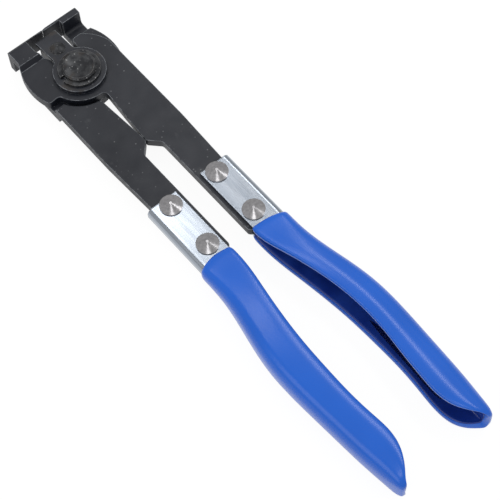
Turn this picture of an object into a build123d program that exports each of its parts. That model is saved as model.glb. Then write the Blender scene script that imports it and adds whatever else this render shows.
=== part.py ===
from build123d import *
import os
from math import asin, atan2, cos, degrees, radians, sin, tan

os.makedirs("parts", exist_ok=True)

# Ear clamp pliers. Two bent plate levers cross at a large pivot pin. The origin is on the
# pivot axis, at the level of the surface that the pliers lie on. +Y runs to the jaws, +Z is up.

# Plate levers
plate = 4.0
face_gap = 0.1
jaw_front = 28.7
jaw_outer = 18.3
jaw_inner = 9.0
jaw_step = 2.4
jaw_step_run = 1.7
jaw_step_start = 18.4
jaw_bend = 3.2
jaw_inner_bend = 1.5
jaw_corner = 1.0
flange_short = 1.0
flange_round = 1.4
tip_thickness = 1.6
tip_edge = 0.6
tip_taper = 2.8
closing_gap = 0.3
neck_forward = 19.5
shoulder_reach = 21.6
shoulder_forward = 8.3
shoulder_corner_out = 19.7
shoulder_corner_back = 4.4
shoulder_round = 1.6
disc_radius = 14.7
relief_angle = 196.0
relief_round = 1.8
crotch_round = 2.4
lobe_inner = 7.4
lobe_forward = 16.1
lobe_radius = 20.3
lobe_flat = 12.2
lobe_round = 1.5
notch_floor = 10.4
notch_round = 2.0
notch_side = 6.0
notch_side_forward = 13.2
jaw_root_forward = 19.8
jaw_root_round = 3.0
arm_inset = 0.7
arm_outer_back = 45.0
arm_gap = 4.6
bump_back = 43.0
bump_length = 3.0
bump_round = 1.2
waist_back = 51.0
waist_round = 2.5
tongue_inner = 4.9
tongue_outer = 18.6
tongue_start = 73.0
tongue_end = 108.0
tongue_round = 2.0

# Step in the lower lever that lifts its arm to the level of the other arm
crest_gap = 2.6
crest_back = 8.5
crest_run = 0.5
crest_web = 2.4
crest_round = 0.6

# Pivot pin with its head below and a retaining ring in a groove above
pin_diameter = 14.8
pin_head_diameter = 20.0
pin_head_height = 3.0
pin_head_chamfer = 0.8
pin_end_height = 1.7
pin_end_chamfer = 0.7
pin_dish_radius = 30.0
pin_dish_rim = 1.1
bore_clearance = 0.05
groove_depth = 0.7
ring_width = 2.55
ring_thickness = 1.2
ring_play = 0.05
ring_gap = 2.4

# Floating stop: a ring plate round the pin, with a tab that carries a block between the jaws
stop_plate_thickness = 2.0
stop_ring_diameter = 23.2
stop_tab_width = 10.6
stop_tab_front = 24.4
stop_tab_round = 1.2
stop_fillet = 3.0
stop_tab_bend = 1.7
stop_lean = 2.5
block_width = 9.2
block_back = 11.6
block_front = 23.6
block_clearance_below = 1.0
block_round = 1.6
stop_rivet_forward = 14.9
stop_rivet_diameter = 4.0
stop_rivet_head_diameter = 6.8
stop_rivet_head_height = 1.5
rivet_clearance = 0.05

# Handle channels: folded sheet, open towards the middle, riveted over the lever tongues.
# One pressing serves both sides, turned over for the left one.
sheet = 1.5
channel_front = 74.0
channel_spine = 21.3
channel_mouth = 6.5
channel_bend = 2.6
flare_start = 108.0
sheet_end = 228.6
end_mouth = 12.3
end_back = 209.5
end_sweep = 20.5
end_corner = 5.8
grip_bow = 27.5
grip_half_depth = 6.8
grip_bend = 4.2
handle_rivet_out = 12.1
handle_rivet_backs = (78.2, 101.8)
handle_rivet_diameter = 5.0
handle_rivet_head_diameter = 9.8
handle_rivet_rim = 0.6
handle_rivet_cone = 1.7
handle_rivet_tip = 1.2

# Dipped grip: a soft skin on both faces of the sheet
dip = 0.9
dip_line = 109.4
dip_wave = 1.0
lip_round = 1.0
# Wave of the dip line on each handle: how far across the channel, and how far forward, as shares
right_dip_shares = ((-0.2, 0.0), (0.1, 0.0), (0.35, -0.2), (0.72, -0.9), (1.0, -1.2), (1.2, -1.2))
left_dip_shares = ((-0.2, 0.0), (0.1, 0.0), (0.35, -0.2), (0.72, 1.0), (1.0, -0.2), (1.2, -0.8))

# Stations of the flared channel: how far along, spine, mouth of the upper flange, mouth of the
# lower flange, half depth, bend radius, as shares of the flared length, the bow (three times),
# the half depth and the grip bend. The last lies a little past the end, where the end is trimmed.
flare_shares = (
    (0.033, 0.773, 0.236, 0.233, 0.551, 0.667),
    (0.083, 0.771, 0.273, 0.255, 0.662, 0.738),
    (0.149, 0.785, 0.349, 0.298, 0.809, 0.857),
    (0.224, 0.836, 0.425, 0.360, 0.919, 0.952),
    (0.307, 0.913, 0.498, 0.415, 0.978, 1.000),
    (0.390, 0.975, 0.549, 0.458, 1.000, 1.000),
    (0.473, 1.000, 0.575, 0.484, 1.000, 1.000),
    (0.572, 0.987, 0.569, 0.495, 0.978, 1.000),
    (0.672, 0.962, 0.509, 0.502, 0.956, 1.000),
    (0.763, 0.942, 0.476, 0.476, 0.960, 1.000),
    (0.837, 0.920, 0.447, 0.447, 0.985, 1.000),
    (0.915, 0.880, 0.440, 0.440, 1.000, 1.000),
    (1.020, 0.795, 0.436, 0.436, 1.000, 1.000),
)

# Levels, upwards from the pin head's underside
lower_base = pin_head_height
lower_top = lower_base + plate
upper_base = lower_top + face_gap
upper_top = upper_base + plate
joint_level = (lower_top + upper_base) / 2
jaw_top = upper_top + jaw_step
jaw_low = 2 * joint_level - jaw_top + flange_short
arm_level = upper_base + plate / 2
stop_base = upper_top + face_gap
stop_top = stop_base + stop_plate_thickness
ring_base = stop_top + face_gap
ring_top = ring_base + ring_thickness
pin_top = ring_top + ring_play + pin_end_height
overrun = 2 * plate
span = 2 * shoulder_reach

pin_radius = pin_diameter / 2
bore_radius = pin_radius + bore_clearance


def on_circle(radius, angle):
    return (radius * cos(radians(angle)), radius * sin(radians(angle)))


def write(part, label):
    part.label = label
    export_step(part, f"parts/{label}.step")


# Plan of the upper lever: jaw on the left, arm on the right. The lower lever is its mirror image.
half_gap = closing_gap / 2
arm_outer = lobe_radius - arm_inset
crotch_angle = 270 + degrees(asin(arm_gap / 2 / disc_radius))
disc_start = on_circle(disc_radius, relief_angle)
disc_end = on_circle(disc_radius, crotch_angle)
disc_middle = on_circle(disc_radius, (relief_angle + crotch_angle) / 2)
lobe_start = (arm_outer, (lobe_radius**2 - arm_outer**2) ** 0.5)
lobe_end = (lobe_flat, (lobe_radius**2 - lobe_flat**2) ** 0.5)
lobe_low_angle = degrees(atan2(lobe_start[1], lobe_start[0]))
lobe_high_angle = degrees(atan2(lobe_end[1], lobe_end[0]))
lobe_middle = on_circle(lobe_radius, (lobe_low_angle + lobe_high_angle) / 2)
shoulder_corner = (-shoulder_corner_out, -shoulder_corner_back)
plan_rounds = (
    ((-jaw_outer, jaw_front), jaw_corner),
    (shoulder_corner, shoulder_round),
    (disc_start, relief_round),
    (disc_end, crotch_round),
    ((half_gap, -bump_back), bump_round),
    ((half_gap, -bump_back - bump_length), bump_round),
    ((tongue_inner, -waist_back), waist_round),
    ((tongue_inner, -tongue_end), tongue_round),
    ((tongue_outer, -tongue_end), tongue_round),
    ((lobe_inner, lobe_forward), lobe_round),
    ((lobe_inner, notch_floor), notch_round),
    ((-notch_side, notch_floor), notch_round),
    ((-notch_side, notch_side_forward), jaw_root_round),
    ((-jaw_inner, jaw_root_forward), jaw_root_round),
)

with BuildSketch() as lever_plan:
    with BuildLine():
        Polyline(
            (lobe_inner, notch_floor),
            (-notch_side, notch_floor),
            (-notch_side, notch_side_forward),
            (-jaw_inner, jaw_root_forward),
            (-jaw_inner, jaw_front),
            (-jaw_outer, jaw_front),
            (-jaw_outer, neck_forward),
        )
        ThreePointArc(
            (-jaw_outer, neck_forward),
            (-shoulder_reach, shoulder_forward),
            shoulder_corner,
        )
        Line(shoulder_corner, disc_start)
        ThreePointArc(disc_start, disc_middle, disc_end)
        Polyline(
            disc_end,
            (half_gap, -bump_back),
            (half_gap, -bump_back - bump_length),
            (tongue_inner, -waist_back),
            (tongue_inner, -tongue_end),
            (tongue_outer, -tongue_end),
            (tongue_outer, -tongue_start),
            (arm_outer, -arm_outer_back),
            lobe_start,
        )
        ThreePointArc(lobe_start, lobe_middle, lobe_end)
        Polyline(lobe_end, (lobe_inner, lobe_forward), (lobe_inner, notch_floor))
    make_face()
    for corner, radius in plan_rounds:
        fillet(lever_plan.vertices().sort_by_distance(corner)[0], radius)
    Circle(bore_radius, mode=Mode.SUBTRACT)
    for back in handle_rivet_backs:
        with Locations((handle_rivet_out, -back)):
            Circle(handle_rivet_diameter / 2 + rivet_clearance, mode=Mode.SUBTRACT)

# The thin pinching tip that runs from the jaw to the middle, ground to an edge at the front
with BuildSketch() as tip_plan:
    with BuildLine():
        Polyline(
            (-jaw_inner - plate, jaw_front - tip_thickness),
            (-half_gap, jaw_front - tip_thickness),
            (-half_gap, jaw_front - tip_thickness + tip_edge),
            (-half_gap - tip_taper, jaw_front),
            (-jaw_inner - plate, jaw_front),
            close=True,
        )
    make_face()
    fillet(tip_plan.vertices().sort_by_distance((-half_gap - tip_taper, jaw_front))[0], tip_taper / 2)

# The upper jaw: the plate steps up in front of the pivot and folds down at its front
step_angle = atan2(jaw_step, jaw_step_run)
fold_shift = plate * tan(step_angle / 2)
step_end = jaw_step_start + jaw_step_run
with BuildPart() as jaw:
    with BuildSketch(Plane.YZ) as jaw_side:
        with BuildLine():
            Polyline(
                (notch_floor, upper_base),
                (jaw_step_start, upper_base),
                (step_end, upper_base + jaw_step),
                (jaw_front - plate, upper_base + jaw_step),
                (jaw_front - plate, jaw_low),
                (jaw_front, jaw_low),
                (jaw_front, jaw_top),
                (step_end - fold_shift, jaw_top),
                (jaw_step_start - fold_shift, upper_top),
                (notch_floor, upper_top),
                close=True,
            )
        make_face()
        fillet(jaw_side.vertices().sort_by_distance((jaw_front, jaw_top))[0], jaw_bend)
        fillet(
            jaw_side.vertices().sort_by_distance((jaw_front - plate, upper_base + jaw_step))[0],
            jaw_inner_bend,
        )
        fillet(jaw_side.vertices().sort_by_distance((jaw_front, jaw_low))[0], flange_round)
    extrude(amount=-span)
    with BuildSketch():
        add(lever_plan.sketch)
        add(tip_plan.sketch)
    extrude(amount=jaw_top + overrun, mode=Mode.INTERSECT)

# Room in front of the jaw's fold line, where the flat plate gives way to the jaw
with BuildPart() as jaw_room:
    with BuildSketch():
        with Locations((-span / 2, jaw_front)):
            Rectangle(span, 2 * (jaw_front - notch_floor))
    extrude(amount=jaw_top + overrun)

with BuildPart() as upper_lever:
    with BuildSketch(Plane.XY.offset(upper_base)):
        add(lever_plan.sketch)
    extrude(amount=plate)
    add(jaw_room.part, mode=Mode.SUBTRACT)
    add(jaw.part)
write(upper_lever.part, "upper_lever")

# The lower lever: the same blank turned over, with its arm lifted by one plate behind the pivot
turn_over = Axis((0, 0, joint_level), (0, 1, 0))
arm_lift = upper_top - lower_top
crest_radius = disc_radius + crest_gap
web_run = crest_web / sin(atan2(arm_lift, crest_run))
base_radius = crest_radius - crest_run
base_back = crest_back - crest_run
heel_radius = base_radius + web_run - crest_run
heel_back = base_back + web_run - crest_run

with BuildPart() as head_room:
    with BuildSketch(Plane.YZ):
        with BuildLine():
            Polyline(
                (jaw_front + overrun, lower_top),
                (-base_back, lower_top),
                (-crest_back, upper_top),
                (jaw_front + overrun, upper_top),
                close=True,
            )
        make_face()
    extrude(amount=span, both=True)
    with Locations((0, 0, lower_top)):
        Cone(base_radius, crest_radius, arm_lift, align=(Align.CENTER, Align.CENTER, Align.MIN))

with BuildPart() as arm_room:
    with BuildSketch(Plane.YZ):
        with BuildLine():
            Polyline(
                (-heel_back - crest_run, upper_base),
                (-heel_back, lower_base),
                (-tongue_end - overrun, lower_base),
                (-tongue_end - overrun, upper_base),
                close=True,
            )
        make_face()
    extrude(amount=span, both=True)
    with Locations((0, 0, lower_base)):
        Cone(
            heel_radius,
            heel_radius + crest_run,
            arm_lift,
            align=(Align.CENTER, Align.CENTER, Align.MIN),
            mode=Mode.SUBTRACT,
        )

with BuildPart() as lower_lever:
    with BuildSketch(Plane.XY.offset(lower_base)):
        mirror(lever_plan.sketch, about=Plane.YZ)
    extrude(amount=upper_top - lower_base)
    add(head_room.part, mode=Mode.SUBTRACT)
    add(arm_room.part, mode=Mode.SUBTRACT)
    add(jaw_room.part.rotate(turn_over, 180), mode=Mode.SUBTRACT)
    add(jaw.part.rotate(turn_over, 180))
    for level, radius, back in (
        (upper_top, crest_radius, crest_back),
        (lower_base, heel_radius, heel_back),
    ):
        level_edges = lower_lever.edges().filter_by_position(Axis.Z, level, level)
        bends = level_edges.filter_by(GeomType.CIRCLE).filter_by(lambda edge: edge.radius == radius)
        bends += level_edges.filter_by(Axis.X).filter_by_position(Axis.Y, -back, -back)
        fillet(bends, crest_round)
write(lower_lever.part, "lower_lever")

# Pivot pin: turned, with a flat head below, a groove for the ring and a dished top
groove_radius = pin_radius - groove_depth
ring_inner = groove_radius + bore_clearance
ring_outer = ring_inner + ring_width
head_radius = pin_head_diameter / 2
dish_radius = pin_radius - pin_dish_rim
dish_depth = pin_dish_radius - (pin_dish_radius**2 - dish_radius**2) ** 0.5
with BuildPart() as pivot_pin:
    with BuildSketch(Plane.XZ):
        with BuildLine():
            Polyline(
                (0, 0),
                (head_radius - pin_head_chamfer, 0),
                (head_radius, pin_head_chamfer),
                (head_radius, pin_head_height),
                (pin_radius, pin_head_height),
                (pin_radius, ring_base),
                (groove_radius, ring_base),
                (groove_radius, ring_top + ring_play),
                (pin_radius, ring_top + ring_play),
                (pin_radius, pin_top - pin_end_chamfer),
                (pin_radius - pin_end_chamfer, pin_top),
                (dish_radius, pin_top),
            )
            RadiusArc((dish_radius, pin_top), (0, pin_top - dish_depth), pin_dish_radius)
            Line((0, pin_top - dish_depth), (0, 0))
        make_face()
    revolve(axis=Axis.Z)
write(pivot_pin.part, "pivot_pin")

# Retaining ring: an open spring ring, its gap towards the left
with BuildPart() as retaining_ring:
    with BuildSketch(Plane.XY.offset(ring_base)):
        Circle(ring_outer)
        Circle(ring_inner, mode=Mode.SUBTRACT)
        with Locations((-ring_outer, 0)):
            Rectangle(ring_outer, ring_gap, mode=Mode.SUBTRACT)
    extrude(amount=ring_thickness)
write(retaining_ring.part, "retaining_ring")

# Stop plate: ring and tab in one stamping, with the front of the tab bent down a little
with BuildPart() as stop_plate:
    with BuildSketch(Plane.XY.offset(stop_base)) as stop_outline:
        Circle(stop_ring_diameter / 2)
        with Locations((0, stop_tab_front / 2)):
            Rectangle(stop_tab_width, stop_tab_front)
        root = ((stop_ring_diameter**2 - stop_tab_width**2) ** 0.5) / 2
        for side in (-1, 1):
            corner = (side * stop_tab_width / 2, root)
            fillet(stop_outline.vertices().sort_by_distance(corner)[0], stop_fillet)
            corner = (side * stop_tab_width / 2, stop_tab_front)
            fillet(stop_outline.vertices().sort_by_distance(corner)[0], stop_tab_round)
        Circle(bore_radius, mode=Mode.SUBTRACT)
        with Locations((0, stop_rivet_forward)):
            Circle(stop_rivet_diameter / 2 + rivet_clearance, mode=Mode.SUBTRACT)
    extrude(amount=stop_plate_thickness)
    with BuildSketch(Plane.YZ) as stop_side:
        with Locations((0, stop_base)):
            Rectangle(2 * stop_tab_front, 2 * stop_plate_thickness)
        fillet(stop_side.vertices().sort_by_distance((stop_tab_front, stop_top))[0], stop_tab_bend)
    extrude(amount=stop_ring_diameter, both=True, mode=Mode.INTERSECT)
write(stop_plate.part.rotate(Axis.Z, stop_lean), "stop_plate")

# Stop block: hangs under the tab, between the two jaws
block_low = block_clearance_below
block_length = block_front - block_back
with BuildPart() as stop_block:
    with BuildSketch(Plane.XY.offset(block_low)) as block_plan:
        with Locations((0, (block_front + block_back) / 2)):
            Rectangle(block_width, block_length)
        fillet(block_plan.vertices(), block_round)
        with Locations((0, stop_rivet_forward)):
            Circle(stop_rivet_diameter / 2 + rivet_clearance, mode=Mode.SUBTRACT)
    extrude(amount=stop_base - block_low)
write(stop_block.part.rotate(Axis.Z, stop_lean), "stop_block")

# Stop rivet: a domed head on the tab and a shank through the block
with BuildPart() as stop_rivet:
    with Locations((0, stop_rivet_forward, block_low)):
        Cylinder(
            stop_rivet_diameter / 2,
            stop_top - block_low,
            align=(Align.CENTER, Align.CENTER, Align.MIN),
        )
    head_half = stop_rivet_head_diameter / 2
    dome_radius = (head_half**2 + stop_rivet_head_height**2) / (2 * stop_rivet_head_height)
    with BuildSketch(Plane.YZ):
        with BuildLine():
            Line((stop_rivet_forward, stop_top), (stop_rivet_forward + head_half, stop_top))
            RadiusArc(
                (stop_rivet_forward + head_half, stop_top),
                (stop_rivet_forward, stop_top + stop_rivet_head_height),
                -dome_radius,
            )
            Line(
                (stop_rivet_forward, stop_top + stop_rivet_head_height),
                (stop_rivet_forward, stop_top),
            )
        make_face()
    revolve(axis=Axis((0, stop_rivet_forward, 0), (0, 0, 1)))
write(stop_rivet.part.rotate(Axis.Z, stop_lean), "stop_rivet")

# Handle channel and grip, drawn for the right hand side
flare_length = sheet_end - flare_start
stack_half = plate / 2 + sheet


def slice_of_channel(back, spine, top_mouth, low_mouth, half, bend, lip):
    with BuildSketch(Plane.XZ.offset(back)) as slice_face:
        with BuildLine():
            Polyline(
                (low_mouth, arm_level - half),
                (spine, arm_level - half),
                (spine, arm_level + half),
                (top_mouth, arm_level + half),
                close=True,
            )
        make_face()
        fillet(slice_face.vertices().sort_by(Axis.X)[-2:], bend)
        if lip:
            fillet(slice_face.vertices().sort_by(Axis.X)[:2], lip)
    return slice_face.sketch


def channel_form(inset, mouth_cut, lip=0):
    """Solid form of the channel, drawn in from the sheet's outer face by inset."""
    stations = [(0, channel_spine, channel_mouth, channel_mouth, stack_half, channel_bend)]
    for along, spine, top_mouth, low_mouth, half, bend in flare_shares:
        stations.append((
            along * flare_length,
            spine * grip_bow,
            top_mouth * grip_bow,
            low_mouth * grip_bow,
            half * grip_half_depth,
            bend * grip_bend,
        ))
    slices = [
        slice_of_channel(
            flare_start + along,
            spine - inset,
            top_mouth - mouth_cut,
            low_mouth - mouth_cut,
            half - inset,
            bend - inset,
            lip,
        )
        for along, spine, top_mouth, low_mouth, half, bend in stations
    ]
    with BuildPart() as form:
        extrude(slices[0], amount=flare_start - channel_front, dir=(0, 1, 0))
        add(slices)
        loft()
    return form.part


def handle_reach(skin):
    """Room that the handle may fill: its end sweeps round in plan and has rounded corners."""
    with BuildPart() as reach:
        with BuildSketch():
            with Locations((0, -end_back / 2)):
                Rectangle(2 * span, end_back)
            with Locations((end_mouth + end_sweep, -end_back)):
                Circle(end_sweep + skin)
        extrude(amount=arm_level + 2 * grip_half_depth)
        with BuildSketch(Plane.YZ) as side:
            with Locations((0, arm_level)):
                Rectangle(2 * (sheet_end + skin), 2 * (grip_half_depth + skin))
            fillet(side.vertices().group_by(Axis.Y)[0], end_corner + skin)
        extrude(amount=span, both=True, mode=Mode.INTERSECT)
    return reach.part


sheet_outside = channel_form(0, 0)
sheet_inside = channel_form(sheet, overrun)
skin_outside = channel_form(-dip, dip, lip_round)
skin_inside = channel_form(sheet + dip, overrun)

with BuildPart() as right_channel:
    add(sheet_outside)
    add(sheet_inside, mode=Mode.SUBTRACT)
    add(handle_reach(0), mode=Mode.INTERSECT)
    for back in handle_rivet_backs:
        with Locations((handle_rivet_out, -back, arm_level)):
            Cylinder(
                handle_rivet_diameter / 2 + rivet_clearance,
                2 * grip_half_depth,
                mode=Mode.SUBTRACT,
            )


def bare_front(dip_shares):
    """Everything in front of the wavy line where the dipped skin begins."""
    skin_width = channel_spine - channel_mouth
    dip_points = [
        (channel_mouth + across * skin_width, forward * dip_wave - dip_line)
        for across, forward in dip_shares
    ]
    with BuildPart() as bare:
        with BuildSketch():
            with BuildLine():
                Spline(dip_points)
                Polyline(
                    dip_points[-1],
                    (span, -dip_line),
                    (span, 0),
                    (-span, 0),
                    (-span, -dip_line),
                    dip_points[0],
                )
            make_face()
        extrude(amount=arm_level + 2 * grip_half_depth)
    return bare.part


def dipped_grip(dip_shares):
    """Skin on both faces of the sheet and round its edges, behind the dip line."""
    with BuildPart() as grip:
        add(skin_outside)
        add(skin_inside, mode=Mode.SUBTRACT)
        add(handle_reach(dip), mode=Mode.INTERSECT)
        add(bare_front(dip_shares), mode=Mode.SUBTRACT)
        add(right_channel.part, mode=Mode.SUBTRACT)
    return grip.part


# Handle rivet: the same shallow cone head on both faces of the channel
with BuildPart() as handle_rivet:
    with BuildSketch(Plane.XZ):
        with BuildLine():
            Polyline(
                (0, 0),
                (handle_rivet_diameter / 2, 0),
                (handle_rivet_diameter / 2, stack_half),
                (handle_rivet_head_diameter / 2, stack_half),
                (handle_rivet_head_diameter / 2, stack_half + handle_rivet_rim),
                (handle_rivet_tip / 2, stack_half + handle_rivet_rim + handle_rivet_cone),
                (0, stack_half + handle_rivet_rim + handle_rivet_cone),
                close=True,
            )
        make_face()
    revolve(axis=Axis.Z)
    mirror(about=Plane.XY)

# The left hand side is the same channel and grip, turned over
side_turn = Axis((0, 0, arm_level), (0, 1, 0))
write(right_channel.part, "right_channel")
write(dipped_grip(right_dip_shares), "right_grip")
write(right_channel.part.rotate(side_turn, 180), "left_channel")
write(dipped_grip(left_dip_shares).rotate(side_turn, 180), "left_grip")
for side, side_name in ((1, "right"), (-1, "left")):
    for back, place_name in zip(handle_rivet_backs, ("front", "rear")):
        place = Location((side * handle_rivet_out, -back, arm_level))
        write(handle_rivet.part.moved(place), f"{side_name}_{place_name}_rivet")
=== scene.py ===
from math import cos, pi, radians, sin

import bmesh
import bpy
from mathutils import Matrix, Vector


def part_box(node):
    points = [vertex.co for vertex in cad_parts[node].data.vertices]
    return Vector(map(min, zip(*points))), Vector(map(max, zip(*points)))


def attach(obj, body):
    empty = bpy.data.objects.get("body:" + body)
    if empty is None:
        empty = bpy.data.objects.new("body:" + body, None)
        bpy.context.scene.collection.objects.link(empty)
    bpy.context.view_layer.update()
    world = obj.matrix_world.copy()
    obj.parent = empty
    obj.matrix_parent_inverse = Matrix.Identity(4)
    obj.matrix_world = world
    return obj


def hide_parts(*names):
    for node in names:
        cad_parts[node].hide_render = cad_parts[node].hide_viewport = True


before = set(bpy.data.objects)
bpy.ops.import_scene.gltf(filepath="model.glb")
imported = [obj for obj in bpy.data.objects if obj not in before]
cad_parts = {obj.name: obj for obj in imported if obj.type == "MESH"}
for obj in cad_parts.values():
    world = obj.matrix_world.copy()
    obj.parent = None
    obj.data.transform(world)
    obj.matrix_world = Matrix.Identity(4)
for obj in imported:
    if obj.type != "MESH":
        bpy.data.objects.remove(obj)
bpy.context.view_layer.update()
scene = bpy.context.scene

# Camera: it stands high over the left hand side of the handles, so that the jaws lie far away at
# the upper left of the picture, and it is turned a little clockwise.
picture_width = 500
focal_pixels = 1611
camera_azimuth = -35.78
camera_elevation = 61.75
camera_roll = -4.63
camera_distance = 0.650
camera_aim = Vector((0.00013, -0.11355, 0.009))
camera_near = 0.01

azimuth, elevation, roll = map(radians, (camera_azimuth, camera_elevation, camera_roll))
towards_camera = Vector(
    (
        sin(azimuth) * cos(elevation),
        -cos(azimuth) * cos(elevation),
        sin(elevation),
    )
)
level_right = (-towards_camera).cross(Vector((0, 0, 1))).normalized()
level_up = towards_camera.cross(level_right)
picture_right = cos(roll) * level_right + sin(roll) * level_up
picture_up = cos(roll) * level_up - sin(roll) * level_right

camera_data = bpy.data.cameras.new("camera")
camera_data.sensor_fit = "HORIZONTAL"
camera_data.lens = focal_pixels / picture_width * camera_data.sensor_width
camera_data.clip_start = camera_near
camera = bpy.data.objects.new("camera", camera_data)
camera_turn = Matrix((picture_right, picture_up, towards_camera)).transposed().to_4x4()
camera_place = Matrix.Translation(camera_aim + camera_distance * towards_camera)
camera.matrix_world = camera_place @ camera_turn
scene.collection.objects.link(camera)
scene.camera = camera
scene.view_settings.view_transform = "Standard"

# Room: an even white room round the table, and the plain soft light on the pliers. Only the
# camera sees it full white: the metal and vinyl mirror it dimmer than that.
white = (1, 1, 1, 1)
room_light = 0.60

room = bpy.data.worlds.new("white_room")
scene.world = room
room.use_nodes = True
room_nodes = room.node_tree.nodes
room_links = room.node_tree.links
room_nodes.clear()
room_output = room_nodes.new("ShaderNodeOutputWorld")
room_wall = room_nodes.new("ShaderNodeBackground")
room_path = room_nodes.new("ShaderNodeLightPath")
room_strength = room_nodes.new("ShaderNodeMapRange")
room_wall.inputs["Color"].default_value = white
room_strength.inputs["To Min"].default_value = room_light
room_links.new(room_path.outputs["Is Camera Ray"], room_strength.inputs["Value"])
room_links.new(room_strength.outputs["Result"], room_wall.inputs["Strength"])
room_links.new(room_wall.outputs["Background"], room_output.inputs["Surface"])

# Table: a wide pale sheet that the pliers lie on. It looks white to the camera and in the shine
# of the metal and vinyl, and it keeps a faint soft shadow.
table_half = 3.0
table_colour = (0.80, 0.80, 0.80, 1)
table_glow = 1.08
table_glow_share = 0.86

table_mesh = bpy.data.meshes.new("table")
sheet = bmesh.new()
bmesh.ops.create_grid(sheet, x_segments=1, y_segments=1, size=table_half)
sheet.to_mesh(table_mesh)
sheet.free()
table = bpy.data.objects.new("table", table_mesh)
scene.collection.objects.link(table)


def new_material(name):
    material = bpy.data.materials.new(name)
    material.use_nodes = True
    material.node_tree.nodes.clear()
    return material


table_paint = new_material("table_paint")
paint_nodes = table_paint.node_tree.nodes
paint_links = table_paint.node_tree.links
paint_output = paint_nodes.new("ShaderNodeOutputMaterial")
paint_path = paint_nodes.new("ShaderNodeLightPath")
paint_seen = paint_nodes.new("ShaderNodeMath")
paint_seen.operation = "MAXIMUM"
paint_share = paint_nodes.new("ShaderNodeMapRange")
paint_matt = paint_nodes.new("ShaderNodeBsdfDiffuse")
paint_glow = paint_nodes.new("ShaderNodeEmission")
paint_mix = paint_nodes.new("ShaderNodeMixShader")
paint_matt.inputs["Color"].default_value = table_colour
paint_glow.inputs["Color"].default_value = white
paint_glow.inputs["Strength"].default_value = table_glow
paint_share.inputs["To Max"].default_value = table_glow_share
paint_links.new(paint_path.outputs["Is Camera Ray"], paint_seen.inputs[0])
paint_links.new(paint_path.outputs["Is Glossy Ray"], paint_seen.inputs[1])
paint_links.new(paint_seen.outputs["Value"], paint_share.inputs["Value"])
paint_links.new(paint_share.outputs["Result"], paint_mix.inputs["Fac"])
paint_links.new(paint_matt.outputs["BSDF"], paint_mix.inputs[1])
paint_links.new(paint_glow.outputs["Emission"], paint_mix.inputs[2])
paint_links.new(paint_mix.outputs["Shader"], paint_output.inputs["Surface"])
table_mesh.materials.append(table_paint)

# Lamps: soft boxes. The far one shines in the flat handle sheets, the long one draws the band of
# light along both grips, the near one lights the rivets' cones, and the left one fills the sides.
# An area lamp shows in a mirror at its brightness, so its energy follows from that and its size.
soft_boxes = (
    # name, place, aim, width, length, brightness
    ("far_box", (0.02, 0.40, 1.00), (0, -0.1, 0), 0.54, 0.13, 3.9),
    ("long_box", (0.57, 0.15, 1.00), (0, 0.15, 0), 1.00, 0.16, 5.0),
    ("near_box", (-0.17, -0.31, 1.00), (0, -0.1, 0), 0.22, 0.22, 3.0),
    ("left_box", (-0.90, -0.10, 0.70), (0, -0.1, 0), 0.80, 0.60, 1.2),
)
for name, place, aim, width, length, brightness in soft_boxes:
    lamp_data = bpy.data.lights.new(name, "AREA")
    lamp_data.shape = "RECTANGLE"
    lamp_data.size = width
    lamp_data.size_y = length
    lamp_data.energy = brightness * pi * width * length
    lamp = bpy.data.objects.new(name, lamp_data)
    lamp.location = place
    lamp.rotation_mode = "QUATERNION"
    lamp.rotation_quaternion = (Vector(aim) - Vector(place)).to_track_quat("-Z", "Y")
    scene.collection.objects.link(lamp)

# Levers: two arms stamped from 4 mm steel plate, each with its disc and bent jaw, crossed on the
# pivot pin. The steel is blackened and oiled, and carries fine pale specks and cloudy scuffs. Its
# bright edge lines are partly rubbed wear and partly painted highlight.
black_oxide = (0.0045, 0.0065, 0.0130, 1)
black_cloud = (0.0180, 0.0205, 0.0285, 1)
black_speck = (0.200, 0.205, 0.215, 1)
black_scuff = (0.055, 0.058, 0.066, 1)
black_edge_wear_and_highlight = (0.310, 0.330, 0.360, 1)
steel_clouds = {"scale": 45, "low": 0.35, "high": 0.70, "detail": 4}
steel_scuffs = {"scale": 150, "low": 0.66, "high": 0.80, "detail": 6, "stretch": (1, 0.5, 1)}
steel_gloss = {
    "scale": 160,
    "low": 0.3,
    "high": 0.7,
    "detail": 5,
    "to_low": 0.40,
    "to_high": 0.52,
}
steel_grain = {"scale": 2600, "low": 0.2, "high": 0.8, "detail": 2}
steel_grain_strength = 0.12
steel_grain_depth = 0.00005
steel_wear_and_highlight = {"Width": 0.00055, "Patch_Scale": 500}
steel_dust = {"Scale": 480, "Size": 0.22}
lever_shine = 0.42

# A bright edge is where the rounded normal leans away from the face's own, by these cosines; its
# colour is partly rubbed wear and partly painted highlight. Noise between the two patch values
# breaks it up. A cell past speck_chance holds a speck.
wear_and_highlight_begins = 0.995
wear_and_highlight_full = 0.90
patch_bare = 0.28
patch_full = 0.55
patch_detail = 4
rounding_samples = 6
speck_chance = 0.62


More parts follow.
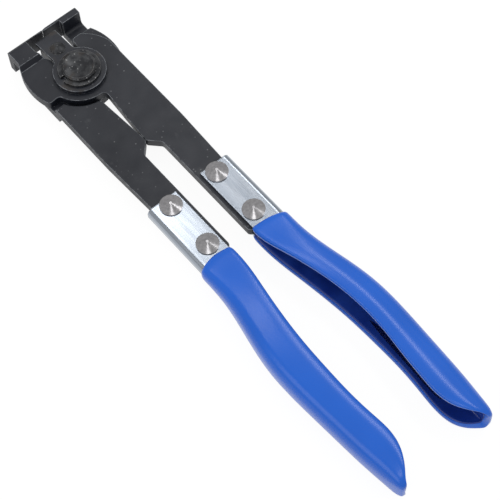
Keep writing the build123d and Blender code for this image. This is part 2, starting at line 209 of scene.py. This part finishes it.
def edge_wear_and_highlight_group():
    """Mask of bright edges, partly worn and partly painted highlight: 1 on the outer edges of a
    piece, broken up by noise, 0 on its faces.
    """
    group = bpy.data.node_groups.new("edge_wear_and_highlight", "ShaderNodeTree")
    sockets = group.interface
    sockets.new_socket("Width", in_out="INPUT", socket_type="NodeSocketFloat")
    sockets.new_socket("Patch Scale", in_out="INPUT", socket_type="NodeSocketFloat")
    sockets.new_socket("Mask", in_out="OUTPUT", socket_type="NodeSocketFloat")
    sockets.new_socket("Normal", in_out="OUTPUT", socket_type="NodeSocketVector")
    given = group.nodes.new("NodeGroupInput")
    result = group.nodes.new("NodeGroupOutput")
    rounded = group.nodes.new("ShaderNodeBevel")
    rounded.samples = rounding_samples
    shape = group.nodes.new("ShaderNodeNewGeometry")
    turn = group.nodes.new("ShaderNodeVectorMath")
    turn.operation = "DOT_PRODUCT"
    edge = group.nodes.new("ShaderNodeMapRange")
    edge.inputs["From Min"].default_value = wear_and_highlight_begins
    edge.inputs["From Max"].default_value = wear_and_highlight_full
    place = group.nodes.new("ShaderNodeTexCoord")
    patches = group.nodes.new("ShaderNodeTexNoise")
    patches.inputs["Detail"].default_value = patch_detail
    broken = group.nodes.new("ShaderNodeMapRange")
    broken.inputs["From Min"].default_value = patch_bare
    broken.inputs["From Max"].default_value = patch_full
    both = group.nodes.new("ShaderNodeMath")
    both.operation = "MULTIPLY"
    group.links.new(given.outputs["Width"], rounded.inputs["Radius"])
    group.links.new(rounded.outputs["Normal"], turn.inputs[0])
    group.links.new(shape.outputs["Normal"], turn.inputs[1])
    group.links.new(turn.outputs["Value"], edge.inputs["Value"])
    group.links.new(place.outputs["Object"], patches.inputs["Vector"])
    group.links.new(given.outputs["Patch Scale"], patches.inputs["Scale"])
    group.links.new(patches.outputs["Fac"], broken.inputs["Value"])
    group.links.new(edge.outputs["Result"], both.inputs[0])
    group.links.new(broken.outputs["Result"], both.inputs[1])
    group.links.new(both.outputs["Value"], result.inputs["Mask"])
    group.links.new(rounded.outputs["Normal"], result.inputs["Normal"])
    return group


def specks_group():
    """Mask of fine specks: small soft dots spread at random, few and of uneven strength."""
    group = bpy.data.node_groups.new("specks", "ShaderNodeTree")
    sockets = group.interface
    sockets.new_socket("Scale", in_out="INPUT", socket_type="NodeSocketFloat")
    sockets.new_socket("Size", in_out="INPUT", socket_type="NodeSocketFloat")
    sockets.new_socket("Mask", in_out="OUTPUT", socket_type="NodeSocketFloat")
    given = group.nodes.new("NodeGroupInput")
    result = group.nodes.new("NodeGroupOutput")
    place = group.nodes.new("ShaderNodeTexCoord")
    cells = group.nodes.new("ShaderNodeTexVoronoi")
    dot = group.nodes.new("ShaderNodeMapRange")
    dot.interpolation_type = "SMOOTHSTEP"
    dot.inputs["To Min"].default_value = 1
    dot.inputs["To Max"].default_value = 0
    chance = group.nodes.new("ShaderNodeSeparateColor")
    chosen = group.nodes.new("ShaderNodeMapRange")
    chosen.inputs["From Min"].default_value = speck_chance
    both = group.nodes.new("ShaderNodeMath")
    both.operation = "MULTIPLY"
    group.links.new(place.outputs["Object"], cells.inputs["Vector"])
    group.links.new(given.outputs["Scale"], cells.inputs["Scale"])
    group.links.new(cells.outputs["Distance"], dot.inputs["Value"])
    group.links.new(given.outputs["Size"], dot.inputs["From Max"])
    group.links.new(cells.outputs["Color"], chance.inputs["Color"])
    group.links.new(chance.outputs["Red"], chosen.inputs["Value"])
    group.links.new(dot.outputs["Result"], both.inputs[0])
    group.links.new(chosen.outputs["Result"], both.inputs[1])
    group.links.new(both.outputs["Value"], result.inputs["Mask"])
    return group


edge_wear_and_highlight = edge_wear_and_highlight_group()
specks = specks_group()


def use_group(tree, group, **values):
    """Places a shared effect in a material, with that material's own values."""
    node = tree.nodes.new("ShaderNodeGroup")
    node.node_tree = group
    for name, value in values.items():
        node.inputs[name.replace("_", " ")].default_value = value
    return node


def cloudy(tree, scale, low, high, detail=3, stretch=(1, 1, 1), to_low=0, to_high=1):
    """Cloudy noise, spread between two values and drawn out along an axis where stretch is small."""
    place = tree.nodes.new("ShaderNodeTexCoord")
    drawn = tree.nodes.new("ShaderNodeMapping")
    drawn.inputs["Scale"].default_value = stretch
    texture = tree.nodes.new("ShaderNodeTexNoise")
    texture.inputs["Scale"].default_value = scale
    texture.inputs["Detail"].default_value = detail
    spread = tree.nodes.new("ShaderNodeMapRange")
    spread.inputs["From Min"].default_value = low
    spread.inputs["From Max"].default_value = high
    spread.inputs["To Min"].default_value = to_low
    spread.inputs["To Max"].default_value = to_high
    tree.links.new(place.outputs["Object"], drawn.inputs["Vector"])
    tree.links.new(drawn.outputs["Vector"], texture.inputs["Vector"])
    tree.links.new(texture.outputs["Fac"], spread.inputs["Value"])
    return spread.outputs["Result"]


# A Mix node has sockets for every kind of value, and these are the places of its colour ones
mix_under = 6
mix_over = 7
mix_result = 2


def mixed(tree, mask, under, over):
    """One colour over another by a mask. Each colour is a constant or another node's output."""
    mix = tree.nodes.new("ShaderNodeMix")
    mix.data_type = "RGBA"
    tree.links.new(mask, mix.inputs["Factor"])
    for place, colour in ((mix_under, under), (mix_over, over)):
        if isinstance(colour, tuple):
            mix.inputs[place].default_value = colour
        else:
            tree.links.new(colour, mix.inputs[place])
    return mix.outputs[mix_result]


def bumped(tree, height, strength, depth, normal=None):
    """Normals of a fine relief, laid over a rounded edge's normals where these are given."""
    dent = tree.nodes.new("ShaderNodeBump")
    dent.inputs["Strength"].default_value = strength
    dent.inputs["Distance"].default_value = depth
    tree.links.new(height, dent.inputs["Height"])
    if normal is not None:
        tree.links.new(normal, dent.inputs["Normal"])
    return dent.outputs["Normal"]


def finished(tree, **sockets):
    """The surface shader, with each constant on its own socket and each pattern linked to it."""
    surface = tree.nodes.new("ShaderNodeBsdfPrincipled")
    output = tree.nodes.new("ShaderNodeOutputMaterial")
    tree.links.new(surface.outputs["BSDF"], output.inputs["Surface"])
    for name, value in sockets.items():
        socket = surface.inputs[name.replace("_", " ")]
        if isinstance(value, bpy.types.NodeSocket):
            tree.links.new(value, socket)
        else:
            socket.default_value = value


def dress(material, *node_names):
    """Gives CAD nodes their material, in place of the plain one that they come with."""
    for name in node_names:
        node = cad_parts[name]
        node.data.materials.clear()
        node.data.materials.append(material)


black_steel = new_material("black_steel")
tree = black_steel.node_tree
wear_and_highlight = use_group(tree, edge_wear_and_highlight, **steel_wear_and_highlight)
dust = use_group(tree, specks, **steel_dust)
tone = mixed(tree, cloudy(tree, **steel_clouds), black_oxide, black_cloud)
tone = mixed(tree, cloudy(tree, **steel_scuffs), tone, black_scuff)
tone = mixed(tree, dust.outputs["Mask"], tone, black_speck)
# The edge colour is partly rubbed wear and partly painted highlight.
tone = mixed(tree, wear_and_highlight.outputs["Mask"], tone, black_edge_wear_and_highlight)
grain = cloudy(tree, **steel_grain)
finished(
    tree,
    Base_Color=tone,
    Specular_IOR_Level=lever_shine,
    Roughness=cloudy(tree, **steel_gloss),
    Normal=bumped(tree, grain, steel_grain_strength, steel_grain_depth, wear_and_highlight.outputs["Normal"]),
)
dress(black_steel, "upper_lever", "lower_lever")

# Stop: a thin plate that swings between the jaws, with a block riveted under its front tab. Both
# are stamped steel, blackened, with brownish stains of old oil.
stain_brown = (0.040, 0.030, 0.022, 1)
oil_stains = {"scale": 190, "low": 0.56, "high": 0.80}
stop_clouds = {"scale": 90, "low": 0.35, "high": 0.70, "detail": 4}
stop_shine = 0.45
stop_roughness = 0.45

stop_steel = new_material("stop_steel")
tree = stop_steel.node_tree
wear_and_highlight = use_group(tree, edge_wear_and_highlight, **steel_wear_and_highlight)
dust = use_group(tree, specks, **steel_dust)
tone = mixed(tree, cloudy(tree, **stop_clouds), black_oxide, black_cloud)
tone = mixed(tree, cloudy(tree, **oil_stains), tone, stain_brown)
tone = mixed(tree, dust.outputs["Mask"], tone, black_speck)
# The edge colour is partly rubbed wear and partly painted highlight.
tone = mixed(tree, wear_and_highlight.outputs["Mask"], tone, black_edge_wear_and_highlight)
grain = cloudy(tree, **steel_grain)
finished(
    tree,
    Base_Color=tone,
    Specular_IOR_Level=stop_shine,
    Roughness=stop_roughness,
    Normal=bumped(tree, grain, steel_grain_strength, steel_grain_depth, wear_and_highlight.outputs["Normal"]),
)
dress(stop_steel, "stop_plate", "stop_block")

# Pivot pin, its retaining ring and the stop's rivet: turned and stamped steel, blackened, oiled
# and rubbed. The pin's dished end is pitted and dull, with pale rubbed spots.
pin_dark = (0.020, 0.021, 0.024, 1)
pin_rubbed = (0.070, 0.072, 0.076, 1)
pin_speck = (0.450, 0.450, 0.450, 1)
pin_edge_wear_and_highlight = (0.260, 0.260, 0.260, 1)
pin_wear_and_highlight = {"Width": 0.00030, "Patch_Scale": 600}
pin_dust = {"Scale": 900, "Size": 0.36}
pin_spots = {"scale": 260, "low": 0.42, "high": 0.66, "detail": 6}
pin_rough = 0.44
pin_smooth = 0.34
pin_pits = {"scale": 900, "low": 0.2, "high": 0.8, "detail": 4}
pin_pit_strength = 0.25
pin_pit_depth = 0.0001
pin_metal = 0.4
pin_shine = 0.28

pin_steel = new_material("pin_steel")
tree = pin_steel.node_tree
wear_and_highlight = use_group(tree, edge_wear_and_highlight, **pin_wear_and_highlight)
dust = use_group(tree, specks, **pin_dust)
tone = mixed(tree, cloudy(tree, **pin_spots), pin_dark, pin_rubbed)
tone = mixed(tree, cloudy(tree, **oil_stains), tone, stain_brown)
tone = mixed(tree, dust.outputs["Mask"], tone, pin_speck)
# The edge colour is partly rubbed wear and partly painted highlight.
tone = mixed(tree, wear_and_highlight.outputs["Mask"], tone, pin_edge_wear_and_highlight)
pits = cloudy(tree, **pin_pits)
finished(
    tree,
    Base_Color=tone,
    Metallic=pin_metal,
    Specular_IOR_Level=pin_shine,
    Roughness=cloudy(tree, **pin_spots, to_low=pin_rough, to_high=pin_smooth),
    Normal=bumped(tree, pits, pin_pit_strength, pin_pit_depth, wear_and_highlight.outputs["Normal"]),
)
dress(pin_steel, "pivot_pin", "retaining_ring", "stop_rivet")

# Channels: thin zinc plated sheet, folded to a U that wraps the rear of each arm and is riveted
# to it. The plating has fine streaks along the fold and dull patches. Both tones are written
# darker than real zinc, to suit the strong far lamp.
zinc_dull = (0.300, 0.335, 0.385, 1)
zinc_bright = (0.420, 0.455, 0.505, 1)
zinc_streaks = {"scale": 320, "low": 0.3, "high": 0.7, "detail": 4, "stretch": (1, 0.06, 1)}
zinc_streak_strength = 0.10
zinc_streak_depth = 0.00008
zinc_gloss = {
    "scale": 60,
    "low": 0.35,
    "high": 0.65,
    "detail": 4,
    "stretch": (1, 0.4, 1),
    "to_low": 0.16,
    "to_high": 0.22,
}
sheet_wear = {"Width": 0.0006, "Patch_Scale": 320}

zinc_sheet = new_material("zinc_sheet")
tree = zinc_sheet.node_tree
rounded = use_group(tree, edge_wear_and_highlight, **sheet_wear).outputs["Normal"]
streaks = cloudy(tree, **zinc_streaks)
finished(
    tree,
    Base_Color=mixed(tree, streaks, zinc_dull, zinc_bright),
    Metallic=1.0,
    Roughness=cloudy(tree, **zinc_gloss),
    Normal=bumped(tree, streaks, zinc_streak_strength, zinc_streak_depth, rounded),
)
dress(zinc_sheet, "left_channel", "right_channel")

# Handle rivets: four steel rivets with shallow coned heads, bright nickel plated, that hold the
# channels on the arms. Their tones are written darker than real nickel, as the zinc's are.
nickel_shade = (0.33, 0.325, 0.335, 1)
nickel_light = (0.45, 0.44, 0.45, 1)
nickel_mottle = {"scale": 900, "low": 0.3, "high": 0.7}
nickel_roughness = 0.22

nickel_rivet = new_material("nickel_rivet")
tree = nickel_rivet.node_tree
finished(
    tree,
    Base_Color=mixed(tree, cloudy(tree, **nickel_mottle), nickel_shade, nickel_light),
    Metallic=1.0,
    Roughness=nickel_roughness,
)
for side in ("left", "right"):
    dress(nickel_rivet, f"{side}_front_rivet", f"{side}_rear_rivet")

# Grips: both channels are dipped in soft blue vinyl, which leaves a glossy skin with crowned
# faces, a full round spine, a rounded lip and a blunt tip. It ends in a wavy line behind the
# rivets. Its inner side is the same vinyl, drawn in a darker blue as painted shade. The
# darker inner side is matched to the photograph, where it may be only shade.
vinyl_blue = (0.002, 0.112, 0.610, 1)
vinyl_pale = (0.004, 0.126, 0.670, 1)
vinyl_depth = {"scale": 35, "low": 0.3, "high": 0.7, "detail": 2}
vinyl_waves = {"scale": 45, "low": 0.2, "high": 0.8, "detail": 0}
vinyl_wave_strength = 0.04
vinyl_wave_depth = 0.0004
vinyl_shine = 0.5
vinyl_roughness = 0.24
vinyl_bloom = 0.22
vinyl_bloom_roughness = 0.30

grip_vinyl = new_material("grip_vinyl")
tree = grip_vinyl.node_tree
waves = cloudy(tree, **vinyl_waves)
finished(
    tree,
    Base_Color=mixed(tree, cloudy(tree, **vinyl_depth), vinyl_blue, vinyl_pale),
    Specular_IOR_Level=vinyl_shine,
    Roughness=vinyl_roughness,
    Sheen_Weight=vinyl_bloom,
    Sheen_Roughness=vinyl_bloom_roughness,
    Normal=bumped(tree, waves, vinyl_wave_strength, vinyl_wave_depth),
)
dress(grip_vinyl, "left_grip", "right_grip")

# The inner face: the same vinyl in a darker blue, which is painted shade inside the channel.
inner_shade_blue = (0.008, 0.030, 0.230, 1)
inner_shade_pale = (0.016, 0.055, 0.330, 1)
inner_depth = {"scale": 90, "low": 0.35, "high": 0.65, "detail": 2}
inner_wave_strength = 0.12
inner_wave_depth = 0.0006
inner_roughness = 0.20

inner_vinyl_painted_shade = new_material("inner_vinyl_painted_shade")
tree = inner_vinyl_painted_shade.node_tree
waves = cloudy(tree, **vinyl_waves)
finished(
    tree,
    Base_Color=mixed(tree, cloudy(tree, **inner_depth), inner_shade_blue, inner_shade_pale),
    Specular_IOR_Level=vinyl_shine,
    Roughness=inner_roughness,
    Normal=bumped(tree, waves, inner_wave_strength, inner_wave_depth),
)

# The wall is drawn solid, as thick as 1.5 mm sheet with 0.9 mm of vinyl on both faces. In each
# section, back is the way behind the pivot, the spine and the lips are ways out from the middle
# of the pliers, and the crown is how far the faces swell. Behind even_from a grip has both of its
# lips alike, which the right one never has. Each wave is the front edge's way forward, from the
# lips to the spine.
mm = 0.001
grip_level = sum(corner[2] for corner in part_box("right_channel")) / 2
grip_wall = 3.3
grip_sections = (
    # back, spine, top lip, low lip, half depth, bend, crown, in millimetres
    (107.9, 22.3, 5.3, 5.5, 4.60, 3.4, 0.0),
    (112.6, 22.2, 5.4, 5.5, 4.95, 3.7, 0.0),
    (118.5, 22.2, 6.3, 5.8, 5.55, 4.2, 0.2),
    (126.0, 22.6, 8.3, 6.9, 6.50, 4.8, 0.3),
    (135.0, 24.1, 10.4, 8.6, 7.25, 5.3, 0.5),
    (145.0, 26.2, 12.4, 10.1, 7.65, 5.5, 0.7),
    (155.0, 27.9, 13.8, 11.3, 7.80, 5.6, 0.8),
    (165.0, 28.6, 14.5, 12.0, 7.80, 5.6, 0.9),
    (177.0, 28.3, 14.3, 12.3, 7.70, 5.6, 0.9),
    (189.0, 27.6, 12.7, 12.5, 7.60, 5.6, 0.9),
    (200.0, 27.0, 11.8, 11.8, 7.60, 5.6, 0.9),
    (209.0, 26.4, 11.0, 10.8, 7.75, 5.6, 0.9),
    (216.0, 25.7, 12.0, 11.0, 7.80, 5.6, 0.7),
    (221.0, 25.1, 14.4, 12.4, 7.75, 5.4, 0.5),
    (225.0, 24.5, 17.3, 15.2, 7.40, 4.4, 0.3),
    (227.4, 24.0, 19.6, 18.0, 6.80, 3.4, 0.0),
    (229.2, 23.3, 20.6, 19.6, 5.60, 2.4, 0.0),
    (229.9, 22.7, 21.2, 20.8, 4.30, 1.4, 0.0),
)
face_shares = (0.0, 0.22, 0.5, 0.78, 1.0)
bend_angles = (20, 42, 66, 90)
no_wave = (0,) * (len(face_shares) + len(bend_angles))
right_wave = (0.6, 0.5, 0.2, -0.4, -1.5, -2.0, -2.2, -2.2, -2.2)
left_wave = (0.0, 0.2, 1.0, 0.7, -0.2, -0.6, -0.8, -0.8, -0.8)
left_even_from = 210
right_even_from = 231
smoothing = 2


def half_section(spine, lip, half_depth, bend, crown):
    """Points across one face of the grip, from its lip over the crown and round the bend."""
    flat_end = spine - bend
    points = []
    for share in face_shares:
        swell = crown * (1 - (2 * share - 1) ** 2)
        points.append((lip + share * (flat_end - lip), half_depth + swell))
    edge_height = points[-1][1]
    for angle in bend_angles:
        out = flat_end + bend * sin(radians(angle))
        points.append((out, edge_height - bend * (1 - cos(radians(angle)))))
    return points


def grip_section(back, spine, top_lip, low_lip, half_depth, bend, crown, wave):
    """The C of the grip's outer face at one place along it, from its top lip to its low lip."""
    top = half_section(spine, top_lip, half_depth, bend, crown)
    low = half_section(spine, low_lip, half_depth, bend, crown)
    top_points = [
        (out * mm, (forward - back) * mm, grip_level + height * mm)
        for (out, height), forward in zip(top, wave)
    ]
    low_points = [
        (out * mm, (forward - back) * mm, grip_level - height * mm)
        for (out, height), forward in zip(low, wave)
    ]
    return top_points + low_points[::-1]


def drawn_skin(wave, even_from):
    """A skin with no wall yet, drawn from section to section and closed at its tip."""
    skin = bmesh.new()
    ring = [skin.verts.new(point) for point in grip_section(*grip_sections[0], wave)]
    edges = [skin.edges.new(pair) for pair in zip(ring, ring[1:])]
    for back, spine, top_lip, low_lip, half_depth, bend, crown in grip_sections[1:]:
        if back > even_from:
            low_lip = top_lip
        # New points start on the old ones, which tells their order round the C
        order = {tuple(vert.co): number for number, vert in enumerate(ring)}
        drawn = bmesh.ops.extrude_edge_only(skin, edges=edges)["geom"]
        new_verts = [piece for piece in drawn if isinstance(piece, bmesh.types.BMVert)]
        ring = sorted(new_verts, key=lambda vert: order[tuple(vert.co)])
        edges = [skin.edges.get(pair) for pair in zip(ring, ring[1:])]
        points = grip_section(back, spine, top_lip, low_lip, half_depth, bend, crown, no_wave)
        for vert, point in zip(ring, points):
            vert.co = point
    across_the_lips = skin.edges.new((ring[-1], ring[0]))
    bmesh.ops.edgeloop_fill(skin, edges=edges + [across_the_lips])
    return skin


def grip_piece(name, node, body, skin):
    """The finished grip: the skin gets its wall inwards and is smoothed, and stands for its node."""
    bmesh.ops.recalc_face_normals(skin, faces=skin.faces)
    mesh = bpy.data.meshes.new(name)
    skin.to_mesh(mesh)
    skin.free()
    mesh.shade_smooth()
    mesh.materials.append(grip_vinyl)
    mesh.materials.append(inner_vinyl_painted_shade)
    piece = bpy.data.objects.new(name, mesh)
    scene.collection.objects.link(piece)
    wall = piece.modifiers.new("wall", "SOLIDIFY")
    wall.thickness = grip_wall * mm
    wall.offset = -1
    # The inner face takes the darker vinyl, whose colour is painted shade.
    wall.material_offset = 1
    wall.material_offset_rim = 0
    smooth = piece.modifiers.new("smooth", "SUBSURF")
    smooth.levels = smoothing
    smooth.render_levels = smoothing
    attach(piece, body)
    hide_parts(node)


right_skin = drawn_skin(right_wave, right_even_from)
grip_piece("right_grip_skin", "right_grip", "upper_side", right_skin)

# The left grip is the same form turned over about its length
left_skin = drawn_skin(left_wave, left_even_from)
bmesh.ops.rotate(
    left_skin,
    cent=(0, 0, grip_level),
    matrix=Matrix.Rotation(pi, 3, "Y"),
    verts=left_skin.verts,
)
grip_piece("left_grip_skin", "left_grip", "lower_side", left_skin)
